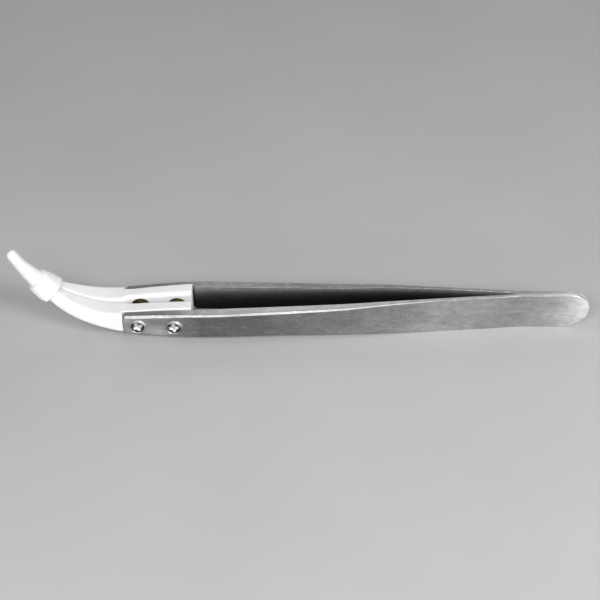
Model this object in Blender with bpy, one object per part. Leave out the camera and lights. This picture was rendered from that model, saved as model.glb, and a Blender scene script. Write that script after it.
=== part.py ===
"""Curved ceramic-tip tweezers: two spring arms joined at the tail, each carrying a
screwed-on ceramic tip, with a soft protective cap pushed over both tips.

+X runs to the joined tail and -X to the tips.  The arms open along Y: the left side is at
-Y, the right side at +Y.  +Z is up, the way the tips curve.  The origin is under the middle
of the closed tweezers, on the surface their lower edges lie on.  Dimensions are in
millimetres and are turned into metres when a mesh or an object is made.
"""

import math
from bisect import bisect_right

import bmesh
import bpy
from mathutils import Matrix, Vector

MILLIMETRE = 0.001

# ---------------------------------------------------------------- overall
Y_SIGN = {"left": -1, "right": 1}
MID_Z = 4.675  # height of the arms' centreline above the resting surface
DATUM_X = -0.45  # model x of the zero that every x below is measured from

# ---------------------------------------------------------------- arms
TAIL_X = 66.8  # rear end of both arms
TAIL_ROUND = 5.4  # length of the rounded tail end
TAIL_ROUND_X = TAIL_X - TAIL_ROUND
TAIL_ROUND_STEPS = 12
TAIL_ROUND_ANGLE = 84.0  # the round stops here, short of 90 degrees, as a small flat
TAIL_LEAN = 0.13  # the tail round leans this much per mm of height
LEAN_START_X = 50.0  # the sections begin to lean here
HINGE = (TAIL_X + DATUM_X, 0.0, MID_Z)  # the left side opens about the vertical here

ARM_FRONT_X = -40.50
ARM_CORNER = 0.60  # corner radius of the arm's front end, seen from the side
ARM_END_BEVEL = 0.40  # bevel across the outer edge of the arm's front end

# x, outer face and inner face (both from the middle plane), width, edge bevel
ARM_STATIONS = (
    (ARM_FRONT_X, 5.80, 4.12, 4.95, 0.55),
    (-37.0, 6.00, 4.12, 5.35, 0.55),
    (-32.5, 6.20, 4.12, 5.98, 0.52),
    (-24.4, 6.41, 4.12, 6.58, 0.43),
    (-23.2, 6.42, 4.08, 6.60, 0.42),
    (-4.6, 5.60, 3.38, 7.15, 0.44),
    (9.5, 4.75, 2.85, 7.75, 0.34),
    (19.7, 3.80, 2.45, 8.70, 0.26),
    (30.2, 2.72, 1.80, 9.22, 0.22),
    (41.8, 1.73, 0.87, 9.35, 0.20),
    (46.4, 1.36, 0.50, 9.35, 0.20),
    (51.5, 0.88, 0.03, 9.35, 0.20),
    (TAIL_X, 0.88, 0.03, 9.35, 0.20),
)

# Flat seat for the ceramic: distance from the middle plane at its front and rear
SEAT_REAR_X = -24.60
SEAT_FACE = {"left": (4.10, 4.12), "right": (3.96, 4.80)}

# ---------------------------------------------------------------- ceramic tips
TIP_REAR_X = {"left": -24.82, "right": -25.02}
TIP_PROUD = ((-37.0, 0.32), (-24.7, 0.45))  # x, how far the ceramic stands past the arm's edges
SEAT_GAP = 0.05  # between ceramic and arm
SHOULDER_X = {"left": -40.58, "right": -40.90}  # shoulder in front of the arm's end
SHOULDER_BLEND = 5.0  # length over which the height blends into the shoulder
REAR_CHAMFER = 0.12  # round the ceramic's rear end
SEAT_EDGE_OUTER = 0.12  # edge radii of the ceramic in the seat
SEAT_EDGE_HIGH = {"left": 0.70, "right": 1.00}  # upper inner
SEAT_EDGE_LOW = 0.45  # lower inner
TIP_MID_Z = 0.225  # the ceramic's centreline above the arm's, at the shoulder
TIP_RADIUS = 25.7  # radius the tips curve up on
BEND_END = 21.3  # arc length where that curve ends
NOSE_RADIUS = 46.0  # the last part is straighter
TIP_END = 30.0  # arc length of the ceramic's point

# Along the curve: arc length, height, outer face, inner face, then the radii of the
# outer lower, outer upper and inner edges
TIP_STATIONS = (
    (0.0, 5.15, 5.70, 0.34, 0.85, 1.50, 0.95),
    (1.2, 4.95, 5.65, 0.16, 0.90, 1.40, 0.92),
    (3.0, 4.65, 5.48, 0.12, 1.00, 1.20, 0.86),
    (5.3, 4.30, 5.20, 0.12, 1.05, 1.08, 0.76),
    (7.8, 4.10, 4.82, 0.11, 1.08, 1.08, 0.66),
    (10.3, 3.90, 4.38, 0.11, 1.08, 1.08, 0.58),
    (12.8, 3.76, 3.81, 0.10, 1.05, 1.05, 0.52),
    (15.0, 3.58, 3.18, 0.10, 1.02, 1.02, 0.46),
    (16.7, 3.36, 2.66, 0.10, 1.00, 1.00, 0.40),
    (19.0, 2.66, 2.10, 0.10, 0.90, 0.90, 0.32),
    (21.3, 1.90, 1.52, 0.09, 0.80, 0.80, 0.26),
    (25.6, 1.26, 0.98, 0.08, 0.50, 0.50, 0.18),
    (29.2, 0.84, 0.62, 0.07, 0.30, 0.30, 0.12),
    (TIP_END, 0.56, 0.44, 0.07, 0.18, 0.18, 0.09),
)
# In the seat: x, inner face of the ceramic
SEAT_STATIONS = {
    "left": ((-40.58, 0.40), (-39.4, 0.88), (-37.0, 1.00), (-24.70, 1.22)),
    "right": ((-40.58, 0.40), (-39.4, 1.00), (-37.0, 1.14), (-24.70, 1.38)),
}
# Where the mesh has rings: x in the seat, then arc length along the curve
SEAT_RING_X = (-27.0, -33.0, -37.0, -38.3, -39.4, -40.1)
TIP_RING_ARCS = (
    0.6, 1.2, 2.1, 3.0, 4.1, 5.3, 6.5, 7.8, 9.0, 10.3, 11.5, 12.8, 13.9, 15.0,
    15.9, 16.7, 17.8, 19.0, 20.1, 21.3, 23.4, 25.6, 27.6, 29.0, 29.5, 29.8, TIP_END,
)
CORNER_POINTS = 5  # points on each rounded corner of a section

# ---------------------------------------------------------------- screws and inserts
# All on axes along Y
FASTENER_X = {
    "left": {"front": -37.15, "rear": -28.85},
    "right": {"front": -36.93, "rear": -28.54},
}
FASTENER_Z = {"left": -0.525, "right": -0.225}  # above the arm's centreline
ROUND_SEGMENTS = 32

POCKET_R = 1.72  # pocket for the screw head in the arm's outer face
POCKET_DEPTH = 0.95
POCKET_RIM_DEPTH = 0.08  # the pocket flares from this far below the face
POCKET_FLARE_R = 2.07  # to this radius,
POCKET_FLARE_H = 0.30  # this far above the face
POCKET_CUTTER_TOP = 1.0  # the cutter's end above the face
CLEARANCE_R = 1.08  # hole through the arm
CLEARANCE_DEPTH = 4.0  # below the outer face, past the inner one

HEAD_GAP = 0.04  # under the screw head
HEAD_R = 1.42
HEAD_H = 0.72
HEAD_CHAMFER = 0.06
HEAD_SIDE_SHARE = 0.45  # of the height, below the dome
HEAD_FLAT_SHARE = 0.55  # of the radius, flat on top
SHANK_R = 0.95
SHANK_L = 3.25
SHANK_CHAMFER = 0.25

CROSS_WIDTH = 0.60  # width of the cross recess's slots
CROSS_LENGTH = 2.10
CROSS_DEPTH = 0.38
CROSS_TURN = {"front": 27.0, "rear": 7.0}  # degrees
CROSS_CUTTER_RISE = 0.4  # the cutter's top above the head
CROSS_TOP_SCALE = 1.10  # of the cross outline at the cutter's top
CROSS_BOTTOM_SCALE = 0.62  # and at the bottom of the recess

INSERT_R = 2.20
INSERT_BORE_R = 1.03
INSERT_CHAMFER = 0.15
INSERT_POCKET_R = INSERT_R + 0.06
INSERT_POCKET_SPAN = (-0.2, 5.0)  # the cutter's ends, from the middle plane
INSERT_RECESS = 0.14  # the insert stops this far below the ceramic's inner face
INSERT_OUTER_GAP = 0.07  # and this far inside the ceramic's seat face

# ---------------------------------------------------------------- protective cap
CAP_MOUTH = 16.90  # arc lengths of the mouth,
CAP_FRONT = 22.0  # the front of the collar
CAP_END = 31.4  # and the closed end
CAP_SEGMENTS = 28
SLANT_Y, SLANT_Z = 0.8, 0.6  # direction across the section in which it slants

# Arc length, half width (Y), half height, squareness, then how far the section is
# raised off the tips' centreline and how far along it the section slants
CAP_OUTER = (
    (CAP_MOUTH, 3.10, 2.66, 2.5, -0.04, -0.42),
    (CAP_MOUTH + 0.12, 3.22, 2.80, 2.5, -0.04, -0.42),
    (CAP_MOUTH + 0.45, 3.30, 2.93, 2.5, -0.04, -0.42),
    (18.6, 3.28, 3.02, 2.4, -0.05, -0.30),
    (20.3, 3.06, 2.93, 2.2, -0.08, -0.05),
    (CAP_FRONT - 0.5, 2.74, 2.72, 2.1, -0.14, 0.15),
    (CAP_FRONT - 0.1, 2.58, 2.56, 2.1, -0.16, 0.25),
    (CAP_FRONT, 2.46, 2.44, 2.1, -0.16, 0.28),
    (CAP_FRONT + 0.12, 2.12, 2.08, 2.0, -0.08, 0.28),
    (CAP_FRONT + 0.5, 2.03, 2.00, 2.0, -0.06, 0.20),
    (23.8, 1.85, 1.84, 2.0, -0.04, 0.0),
    (25.4, 1.62, 1.64, 2.0, -0.04, 0.0),
    (27.0, 1.42, 1.44, 2.0, 0.0, 0.0),
    (28.6, 1.31, 1.33, 2.0, 0.10, 0.0),
    (29.9, 1.26, 1.27, 2.0, 0.20, 0.0),
    (30.6, 1.16, 1.16, 2.0, 0.26, 0.0),
    (31.1, 0.91, 0.91, 2.0, 0.30, 0.0),
    (31.38, 0.52, 0.52, 2.0, 0.32, 0.0),
)
CAP_INNER = (
    (CAP_MOUTH, 2.86, 2.24, 2.9, 0.0, -0.42),
    (18.9, 2.44, 1.98, 2.6, 0.0, -0.25),
    (21.3, 1.76, 1.66, 2.1, 0.0, 0.0),
    (25.6, 1.26, 1.20, 2.0, -0.08, 0.0),
    (29.7, 0.80, 0.80, 2.0, 0.03, 0.0),
    (30.4, 0.46, 0.46, 2.0, 0.08, 0.0),
)
# Arc lengths of the rings between those stations
CAP_OUTER_BETWEEN = (CAP_MOUTH + 1.1, 19.4, 20.9, 24.6, 26.2, 29.3)
CAP_INNER_BETWEEN = (17.6, 20.1, 22.6, 24.1, 27.0, 28.4, 30.1)

# ---------------------------------------------------------------- finishes
SHARP_ANGLE = math.radians(32)  # edges steeper than this are shaded sharp
STEEL = dict(colour=(0.36, 0.365, 0.37), roughness=0.36, metallic=1.0)
CERAMIC = dict(colour=(0.90, 0.90, 0.89), roughness=0.22, metallic=0.0)
BRASS = dict(colour=(0.36, 0.27, 0.11), roughness=0.42, metallic=1.0)
SCREW_STEEL = dict(colour=(0.60, 0.59, 0.57), roughness=0.26, metallic=1.0)
SOFT_WHITE = dict(colour=(0.86, 0.86, 0.86), roughness=0.50, metallic=0.0)


# ---------------------------------------------------------------- curves and sections
def clamp(value):
    return min(1.0, max(0.0, value))


def tangent(xs, slopes, k):
    """Slope at point k that keeps a cubic through the points monotone."""
    if k == 0:
        return slopes[0]
    if k == len(slopes):
        return slopes[-1]
    before, after = slopes[k - 1], slopes[k]
    if before * after <= 0:
        return 0.0
    step_before = xs[k] - xs[k - 1]
    step_after = xs[k + 1] - xs[k]
    weight_before = 2 * step_after + step_before
    weight_after = step_after + 2 * step_before
    return (weight_before + weight_after) / (weight_before / before + weight_after / after)


def smooth(rows, x):
    """Monotone cubic through rows of (x, value, value, ...): returns the values at x."""
    xs, *columns = zip(*rows)
    if x <= xs[0]:
        return rows[0][1:]
    if x >= xs[-1]:
        return rows[-1][1:]
    i = bisect_right(xs, x) - 1
    step = xs[i + 1] - xs[i]
    t = (x - xs[i]) / step
    result = []
    for values in columns:
        slopes = [
            (values[k + 1] - values[k]) / (xs[k + 1] - xs[k]) for k in range(len(xs) - 1)
        ]
        result.append(
            (2 * t**3 - 3 * t**2 + 1) * values[i]
            + (t**3 - 2 * t**2 + t) * step * tangent(xs, slopes, i)
            + (-2 * t**3 + 3 * t**2) * values[i + 1]
            + (t**3 - t**2) * step * tangent(xs, slopes, i + 1)
        )
    return tuple(result)


def centreline(arc):
    """x, z and slope angle of the tips' centreline, `arc` mm along it from the arm."""
    angle = min(arc, BEND_END) / TIP_RADIUS
    x = ARM_FRONT_X - TIP_RADIUS * math.sin(angle)
    z = TIP_MID_Z + TIP_RADIUS * (1 - math.cos(angle))
    if arc > BEND_END:
        end_angle = angle + (arc - BEND_END) / NOSE_RADIUS
        x -= NOSE_RADIUS * (math.sin(end_angle) - math.sin(angle))
        z += NOSE_RADIUS * (math.cos(angle) - math.cos(end_angle))
        angle = end_angle
    return x, z, angle


def on_curve(arc, y, rise):
    """Model point at an arc length, y across and `rise` above the centreline."""
    x, z, angle = centreline(arc)
    return (DATUM_X + x + rise * math.sin(angle), y, MID_Z + z + rise * math.cos(angle))


def rounded_section(y_in, y_out, low, high, outer_low_r, outer_high_r, inner_high_r, inner_low_r):
    """Closed ring of (y, height): a rectangle with four rounded corners."""
    # y, height, the signs of the way inward, radius, start angle
    corners = (
        (y_out, low, -1, 1, outer_low_r, 270),
        (y_out, high, -1, -1, outer_high_r, 0),
        (y_in, high, 1, -1, inner_high_r, 90),
        (y_in, low, 1, 1, inner_low_r, 180),
    )
    ring = []
    for y, z, y_inward, z_inward, radius, start in corners:
        for k in range(CORNER_POINTS):
            angle = math.radians(start + 90 * k / (CORNER_POINTS - 1))
            ring.append(
                (
                    y + radius * (y_inward + math.cos(angle)),
                    z + radius * (z_inward + math.sin(angle)),
                )
            )
    return ring


# ---------------------------------------------------------------- meshes
def finish_mesh(shape, name):
    """Turn a bmesh into a mesh whose faces point outwards."""
    bmesh.ops.recalc_face_normals(shape, faces=shape.faces)
    if shape.calc_volume(signed=True) < 0:
        bmesh.ops.reverse_faces(shape, faces=shape.faces)
    mesh = bpy.data.meshes.new(name)
    shape.to_mesh(mesh)
    shape.free()
    return mesh


def solid_from_rings(name, rings):
    """Bridge closed rings of points (mm) into one closed mesh with flat ends."""
    shape = bmesh.new()
    loops = [[shape.verts.new(Vector(p) * MILLIMETRE) for p in ring] for ring in rings]
    for here, there in zip(loops, loops[1:]):
        for k in range(len(here)):
            k2 = (k + 1) % len(here)
            shape.faces.new((here[k], here[k2], there[k2], there[k]))
    shape.faces.new(list(reversed(loops[0])))
    shape.faces.new(loops[-1])
    return finish_mesh(shape, name)


def lathe(name, profile):
    """Turn a profile of (radius, height) about Y.

    A profile that starts and ends at radius 0 has a pole at each end; any other is closed
    on itself.
    """
    shape = bmesh.new()
    loops = []
    for radius, height in profile:
        loop = []
        for k in range(ROUND_SEGMENTS if radius else 1):
            angle = 2 * math.pi * k / ROUND_SEGMENTS
            point = Vector((radius * math.cos(angle), height, radius * math.sin(angle)))
            loop.append(shape.verts.new(point * MILLIMETRE))
        loops.append(loop)
    pairs = list(zip(loops, loops[1:]))
    if profile[0][0] != 0:
        pairs.append((loops[-1], loops[0]))
    for here, there in pairs:
        for k in range(ROUND_SEGMENTS):
            k2 = (k + 1) % ROUND_SEGMENTS
            if len(here) == 1:
                shape.faces.new((here[0], there[k], there[k2]))
            elif len(there) == 1:
                shape.faces.new((here[k], there[0], here[k2]))
            else:
                shape.faces.new((here[k], there[k], there[k2], here[k2]))
    return finish_mesh(shape, name)


def outward(mesh, label):
    """Mirror a mesh made for the +Y side if it belongs to the other side."""
    if Y_SIGN[label] < 0:
        mesh.transform(Matrix.Scale(-1, 4, Vector((0, 1, 0))))
        mesh.flip_normals()
    return mesh


def measured_from(mesh, at):
    """Shift a mesh made in model coordinates so that it is measured from `at` (mm)."""
    mesh.transform(Matrix.Translation(Vector(at) * -MILLIMETRE))
    return mesh


# ---------------------------------------------------------------- objects
def material(name, colour, roughness, metallic):
    result = bpy.data.materials.new(name)
    result.use_nodes = True
    shader = result.node_tree.nodes["Principled BSDF"]
    shader.inputs["Base Color"].default_value = (*colour, 1.0)
    shader.inputs["Roughness"].default_value = roughness
    shader.inputs["Metallic"].default_value = metallic
    result.diffuse_color = (*colour, 1.0)
    return result


def place(name, mesh, at, parent=None):
    """Add an object at the model point `at` (mm); a parent is an empty from `empty`."""
    obj = bpy.data.objects.new(name, mesh)
    bpy.context.scene.collection.objects.link(obj)
    offset = Vector(at)
    if parent is not None:
        obj.parent = parent
        offset -= Vector(parent["at"])
    obj.location = offset * MILLIMETRE
    return obj


def empty(name, at, parent=None):
    """An empty that remembers its model point, for the parts placed under it."""
    obj = place(name, None, at, parent)
    obj.empty_display_size = 0.005
    obj["at"] = at
    return obj


def add_part(name, mesh, finish, holder, at):
    """Add a visible part whose mesh is measured from the model point `at` (mm)."""
    mesh.materials.append(material(name + "_finish", **finish))
    mesh.shade_smooth()
    mesh.set_sharp_from_angle(angle=SHARP_ANGLE)
    return place(name, mesh, at, holder)


def cut(part, mesh, at):
    """Subtract a mesh from a part through a hidden cutter named after the mesh."""
    tool = place(mesh.name, mesh, at)
    tool.hide_render = True
    tool.display_type = "WIRE"
    modifier = part.modifiers.new("cut_" + tool.name, "BOOLEAN")
    modifier.operation = "DIFFERENCE"
    modifier.solver = "EXACT"
    modifier.object = tool


# ---------------------------------------------------------------- arm
def seat_face(label, x):
    """Distance of the seat's flat from the middle plane at x."""
    front, rear = SEAT_FACE[label]
    return front + (rear - front) * (x - ARM_FRONT_X) / (SEAT_REAR_X - ARM_FRONT_X)


def arm_ring(x, label):
    """Six-sided section of the arm at x: two outer bevels, flat inner face."""
    y_out, y_in, width, bevel = smooth(ARM_STATIONS, x)
    if x <= SEAT_REAR_X:
        y_in = seat_face(label, x)
    half = width / 2
    from_front = x - ARM_FRONT_X
    if from_front < ARM_CORNER:
        corner = 1 - from_front / ARM_CORNER
        half -= ARM_CORNER * (1 - math.sqrt(1 - corner**2))
    y_out -= max(0.0, ARM_END_BEVEL - from_front)
    if x > TAIL_ROUND_X:
        half *= math.sqrt(1 - ((x - TAIL_ROUND_X) / TAIL_ROUND) ** 2)
    ring = (
        (y_out, -half + bevel),
        (y_out, half - bevel),
        (y_out - bevel, half),
        (y_in, half),
        (y_in, -half),
        (y_out - bevel, -half),
    )
    lean = TAIL_LEAN * clamp((x - LEAN_START_X) / (TAIL_ROUND_X - LEAN_START_X))
    return [(DATUM_X + x + lean * z, Y_SIGN[label] * y, MID_Z + z) for y, z in ring]


def arm_positions():
    """x of every section, closest together round the front corners and the tail."""
    xs = [ARM_FRONT_X + ARM_CORNER * share for share in (0.0, 0.12, 0.34, 0.66, 1.0)]
    # two sections 0.08 apart make the step at the seat's rear
    xs += [SEAT_REAR_X + offset for offset in (-13.0, -9.5, -6.0, -3.0, 0.0, 0.08)]
    xs += [SEAT_REAR_X + 2.4 + 2.9 * k for k in range(25)]
    xs += [51.5, 54.0, 57.0, TAIL_ROUND_X]
    for k in range(1, TAIL_ROUND_STEPS + 1):
        angle = math.radians(TAIL_ROUND_ANGLE) * k / TAIL_ROUND_STEPS
        xs.append(TAIL_ROUND_X + TAIL_ROUND * math.sin(angle))
    return xs


def fastener_axis(label, where):
    """Model point where a fastener's axis crosses the middle plane."""
    return (DATUM_X + FASTENER_X[label][where], 0.0, MID_Z + FASTENER_Z[label])


def arm_outer_face(label, where):
    """Distance of the arm's outer face from the middle plane at a fastener."""
    return smooth(ARM_STATIONS, FASTENER_X[label][where])[0]


def build_arm(label, holder):
    name = label + "_arm"
    mesh = solid_from_rings(name, [arm_ring(x, label) for x in arm_positions()])
    arm = add_part(name, measured_from(mesh, HINGE), STEEL, holder, HINGE)
    for where in FASTENER_X[label]:
        face = arm_outer_face(label, where)
        profile = (
            (0, face - CLEARANCE_DEPTH),
            (CLEARANCE_R, face - CLEARANCE_DEPTH),
            (CLEARANCE_R, face - POCKET_DEPTH),
            (POCKET_R, face - POCKET_DEPTH),
            (POCKET_R, face - POCKET_RIM_DEPTH),
            (POCKET_FLARE_R, face + POCKET_FLARE_H),
            (POCKET_FLARE_R, face + POCKET_CUTTER_TOP),
            (0, face + POCKET_CUTTER_TOP),
        )
        pocket = lathe(f"cutter_{label}_{where}_pocket", profile)
        cut(arm, outward(pocket, label), fastener_axis(label, where))


# ---------------------------------------------------------------- ceramic tip
def tip_seat_ring(label, x):
    """Section of the ceramic at x, where it lies in the arm's seat."""
    chamfer = REAR_CHAMFER if x == TIP_REAR_X[label] else 0.0
    half = smooth(ARM_STATIONS, x)[2] / 2 + smooth(TIP_PROUD, x)[0]
    shoulder_half = TIP_STATIONS[0][1] / 2
    share = clamp((x - SHOULDER_X[label]) / SHOULDER_BLEND)
    share = share * share * (3 - 2 * share)
    section = rounded_section(
        y_in=smooth(SEAT_STATIONS[label], x)[0] + chamfer,
        y_out=seat_face(label, x) - SEAT_GAP - chamfer,
        low=-half * share + (TIP_MID_Z - shoulder_half) * (1 - share) + chamfer,
        high=half * share + (TIP_MID_Z + shoulder_half) * (1 - share) - chamfer,
        outer_low_r=SEAT_EDGE_OUTER,
        outer_high_r=SEAT_EDGE_OUTER,
        inner_high_r=SEAT_EDGE_HIGH[label],
        inner_low_r=SEAT_EDGE_LOW,
    )
    return [(DATUM_X + x, Y_SIGN[label] * y, MID_Z + z) for y, z in section]


def tip_curve_ring(label, arc):
    """Section of the ceramic in front of the shoulder, square to the curve."""
    height, y_out, y_in, outer_low_r, outer_high_r, inner_r = smooth(TIP_STATIONS, arc)
    section = rounded_section(
        y_in, y_out, -height / 2, height / 2, outer_low_r, outer_high_r, inner_r, inner_r
    )
    return [on_curve(arc, Y_SIGN[label] * y, rise) for y, rise in section]


def build_tip(label, holder):
    name = label + "_tip"
    rear, shoulder = TIP_REAR_X[label], SHOULDER_X[label]
    seat_xs = (rear, rear - 0.15, *SEAT_RING_X, shoulder + 0.05)
    rings = [tip_seat_ring(label, x) for x in seat_xs]
    rings += [tip_curve_ring(label, arc) for arc in (ARM_FRONT_X - shoulder, *TIP_RING_ARCS)]
    mesh = measured_from(solid_from_rings(name, rings), HINGE)
    tip = add_part(name, mesh, CERAMIC, holder, HINGE)
    start, end = INSERT_POCKET_SPAN
    for where in FASTENER_X[label]:
        profile = ((0, start), (INSERT_POCKET_R, start), (INSERT_POCKET_R, end), (0, end))
        pocket = lathe(f"cutter_{label}_{where}_insert", profile)
        cut(tip, outward(pocket, label), fastener_axis(label, where))


# ---------------------------------------------------------------- fasteners
def screw_profile(seat):
    """Half outline of a screw whose head rests `seat` from the middle plane."""
    end = seat - SHANK_L
    profile = [
        (0, end),
        (SHANK_R - SHANK_CHAMFER, end),
        (SHANK_R, end + SHANK_CHAMFER),
        (SHANK_R, seat),
        (HEAD_R - HEAD_CHAMFER, seat),
        (HEAD_R, seat + HEAD_CHAMFER),
        (HEAD_R, seat + HEAD_H * HEAD_SIDE_SHARE),
    ]
    for degrees in (30, 60, 90):
        angle = math.radians(degrees)
        radius = HEAD_R * (HEAD_FLAT_SHARE + (1 - HEAD_FLAT_SHARE) * math.cos(angle))
        rise = HEAD_H * (HEAD_SIDE_SHARE + (1 - HEAD_SIDE_SHARE) * math.sin(angle))
        profile.append((radius, seat + rise))
    profile.append((0, seat + HEAD_H))
    return profile


def cross_cutter(label, where, seat):
    """Plus-shaped prism that narrows towards the bottom of the recess."""
    turn = math.radians(CROSS_TURN[where] * -Y_SIGN[label])
    near, far = CROSS_WIDTH / 2, CROSS_LENGTH / 2
    plus = (
        (far, -near), (far, near), (near, near), (near, far), (-near, far), (-near, near),
        (-far, near), (-far, -near), (-near, -near), (-near, -far), (near, -far), (near, -near),
    )
    rings = []
    for rise, scale in (
        (HEAD_H + CROSS_CUTTER_RISE, CROSS_TOP_SCALE),
        (HEAD_H - CROSS_DEPTH, CROSS_BOTTOM_SCALE),
    ):
        rings.append(
            [
                (
                    scale * (x * math.cos(turn) - z * math.sin(turn)),
                    Y_SIGN[label] * (seat + rise),
                    scale * (x * math.sin(turn) + z * math.cos(turn)),
                )
                for x, z in plus
            ]
        )
    return solid_from_rings(f"cutter_{label}_{where}_cross", rings)


def build_screw(label, where, holder):
    seat = arm_outer_face(label, where) - POCKET_DEPTH + HEAD_GAP
    axis = fastener_axis(label, where)
    mesh = outward(lathe("screw", screw_profile(seat)), label)
    screw = add_part(f"{label}_screw_{where}", mesh, SCREW_STEEL, holder, axis)
    cut(screw, cross_cutter(label, where, seat), axis)


def build_insert(label, where, holder):
    x = FASTENER_X[label][where]
    y_in = smooth(SEAT_STATIONS[label], x)[0] + INSERT_RECESS
    y_out = seat_face(label, x - INSERT_R) - SEAT_GAP - INSERT_OUTER_GAP
    profile = (
        (INSERT_BORE_R, y_in + INSERT_CHAMFER),
        (INSERT_BORE_R + INSERT_CHAMFER, y_in),
        (INSERT_R - INSERT_CHAMFER, y_in),
        (INSERT_R, y_in + INSERT_CHAMFER),
        (INSERT_R, y_out),
        (INSERT_BORE_R, y_out),
    )
    mesh = outward(lathe("insert", profile), label)
    add_part(f"{label}_insert_{where}", mesh, BRASS, holder, fastener_axis(label, where))


# ---------------------------------------------------------------- cap
def cap_ring(rows, arc):
    """Superellipse across the tips' centreline, from a table of cap stations."""
    half_width, half_height, squareness, raised, slant = smooth(rows, arc)
    ring = []
    for k in range(CAP_SEGMENTS):
        angle = 2 * math.pi * k / CAP_SEGMENTS
        cos, sin = math.cos(angle), math.sin(angle)
        y = half_width * math.copysign(abs(cos) ** (2 / squareness), cos)
        z = half_height * math.copysign(abs(sin) ** (2 / squareness), sin)
        ring.append(on_curve(arc + slant * (SLANT_Y * cos + SLANT_Z * sin), y, z + raised))
    return ring


def build_cap(right_side):
    inner_arcs = sorted([row[0] for row in CAP_INNER] + list(CAP_INNER_BETWEEN), reverse=True)
    outer_arcs = sorted([row[0] for row in CAP_OUTER] + list(CAP_OUTER_BETWEEN))
    # along the bore from its blind end, round the mouth, back along the outside
    rings = [cap_ring(CAP_INNER, arc) for arc in inner_arcs]
    rings += [cap_ring(CAP_OUTER, arc) for arc in outer_arcs]
    end = on_curve(CAP_END, 0.0, 0.0)
    mesh = measured_from(solid_from_rings("tip_cap", rings), end)
    add_part("tip_cap", mesh, SOFT_WHITE, empty("cap_axis", end, right_side), end)


# ---------------------------------------------------------------- assembly
def main():
    for obj in list(bpy.data.objects):
        bpy.data.objects.remove(obj, do_unlink=True)

    right_side = empty("right_side", HINGE)
    left_side = empty("left_side", HINGE, right_side)
    for label, holder in (("left", left_side), ("right", right_side)):
        build_arm(label, holder)
        build_tip(label, holder)
        for where in FASTENER_X[label]:
            build_screw(label, where, holder)
            build_insert(label, where, holder)
    build_cap(right_side)


main()
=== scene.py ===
"""Looks of curved tweezers with ceramic tips, a soft cap over the tips, and screwed inserts.

The tweezers lie on a long edge on the floor (z = 0). The tips point to -X ("front") and
curve upwards, the welded tail is at +X ("rear"). The left arm is on the -Y side, the right
arm on the +Y side. Both arms are drawn on one side, with y measured outwards from the
middle plane; x is measured from DATUM_X and z from MID_Z.
"""

import math

import bmesh
import bpy
from mathutils import Matrix, Vector, noise


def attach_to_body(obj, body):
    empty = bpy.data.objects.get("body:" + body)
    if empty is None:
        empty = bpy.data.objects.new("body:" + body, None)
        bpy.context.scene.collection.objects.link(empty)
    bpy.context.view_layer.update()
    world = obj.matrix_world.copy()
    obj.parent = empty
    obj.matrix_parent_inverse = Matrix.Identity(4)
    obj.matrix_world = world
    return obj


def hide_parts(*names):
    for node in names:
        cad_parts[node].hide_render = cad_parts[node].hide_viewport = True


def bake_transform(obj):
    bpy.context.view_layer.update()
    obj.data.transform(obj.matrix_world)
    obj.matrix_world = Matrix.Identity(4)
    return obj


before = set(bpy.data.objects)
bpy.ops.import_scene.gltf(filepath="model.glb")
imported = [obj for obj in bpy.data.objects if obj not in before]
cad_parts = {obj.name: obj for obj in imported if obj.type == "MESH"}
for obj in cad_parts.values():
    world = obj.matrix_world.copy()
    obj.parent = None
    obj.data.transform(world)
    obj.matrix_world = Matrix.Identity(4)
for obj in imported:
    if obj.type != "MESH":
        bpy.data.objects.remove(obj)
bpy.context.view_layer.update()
MM = 0.001

# ------------------------------------------------------------------ dimensions (mm)
MID_Z = 4.675
DATUM_X = -0.45

# arms
TAIL_X = 66.8
TAIL_ROUND = 5.4
TAIL_SKEW = 0.13  # x gained per mm of height at the tail
WELD_X = 51.5  # front end of the welded tail
ARM_FRONT_X = -40.50
ARM_CORNER = 0.70
ARM_END_BEVEL = 0.42
# x, outer face y, inner face y, width in z, bevel
ARM_STATIONS = (
    (ARM_FRONT_X, 5.80, 4.12, 4.95, 0.55),
    (-37.0, 6.00, 4.12, 5.35, 0.55),
    (-32.5, 6.20, 4.12, 5.98, 0.52),
    (-24.4, 6.41, 4.12, 6.58, 0.43),
    (-23.2, 6.42, 4.08, 6.60, 0.42),
    (-4.6, 5.60, 3.38, 7.15, 0.44),
    (9.5, 4.75, 2.85, 7.75, 0.34),
    (19.7, 3.80, 2.45, 8.70, 0.26),
    (30.2, 2.72, 1.80, 9.22, 0.22),
    (41.8, 1.73, 0.87, 9.35, 0.20),
    (46.4, 1.36, 0.50, 9.35, 0.20),
    (WELD_X, 0.88, 0.03, 9.35, 0.20),
    (TAIL_X, 0.88, 0.03, 9.35, 0.20),
)

# seats of the tips inside the arms
SEAT_REAR_X = -24.60
SEAT_FACE = {"left": (4.10, 4.12), "right": (3.96, 4.80)}  # y at the front, at the rear
SEAT_GAP = 0.05
SEAT_EDGE_HIGH = {"left": 0.70, "right": 1.00}  # radii of the inner edges
SEAT_EDGE_LOW = 0.45
SEAT_EDGE_OUT = 0.16
# x, inner face y of the tip
SEAT_STATIONS = {
    "left": ((-40.58, 0.40), (-39.4, 0.88), (-37.0, 1.00), (-24.70, 1.22)),
    "right": ((-40.58, 0.40), (-39.4, 1.00), (-37.0, 1.14), (-24.70, 1.38)),
}

# ceramic tips
TIP_REAR_X = {"left": -24.82, "right": -25.02}
TIP_REAR_EDGE = 0.24
TIP_PROUD = ((-37.0, 0.32), (-24.7, 0.45))  # x, how far the tip stands above the arm edge
SHOULDER_X = {"left": -40.58, "right": -40.90}
SHOULDER_EDGE = 0.10
SHOULDER_RUN = 0.20
TIP_MID_Z = 0.225
TIP_RADIUS = 25.7
BEND_END = 21.3  # length along the curve where the flatter nose radius takes over
NOSE_RADIUS = 46.0
TIP_END = 30.0
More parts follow.
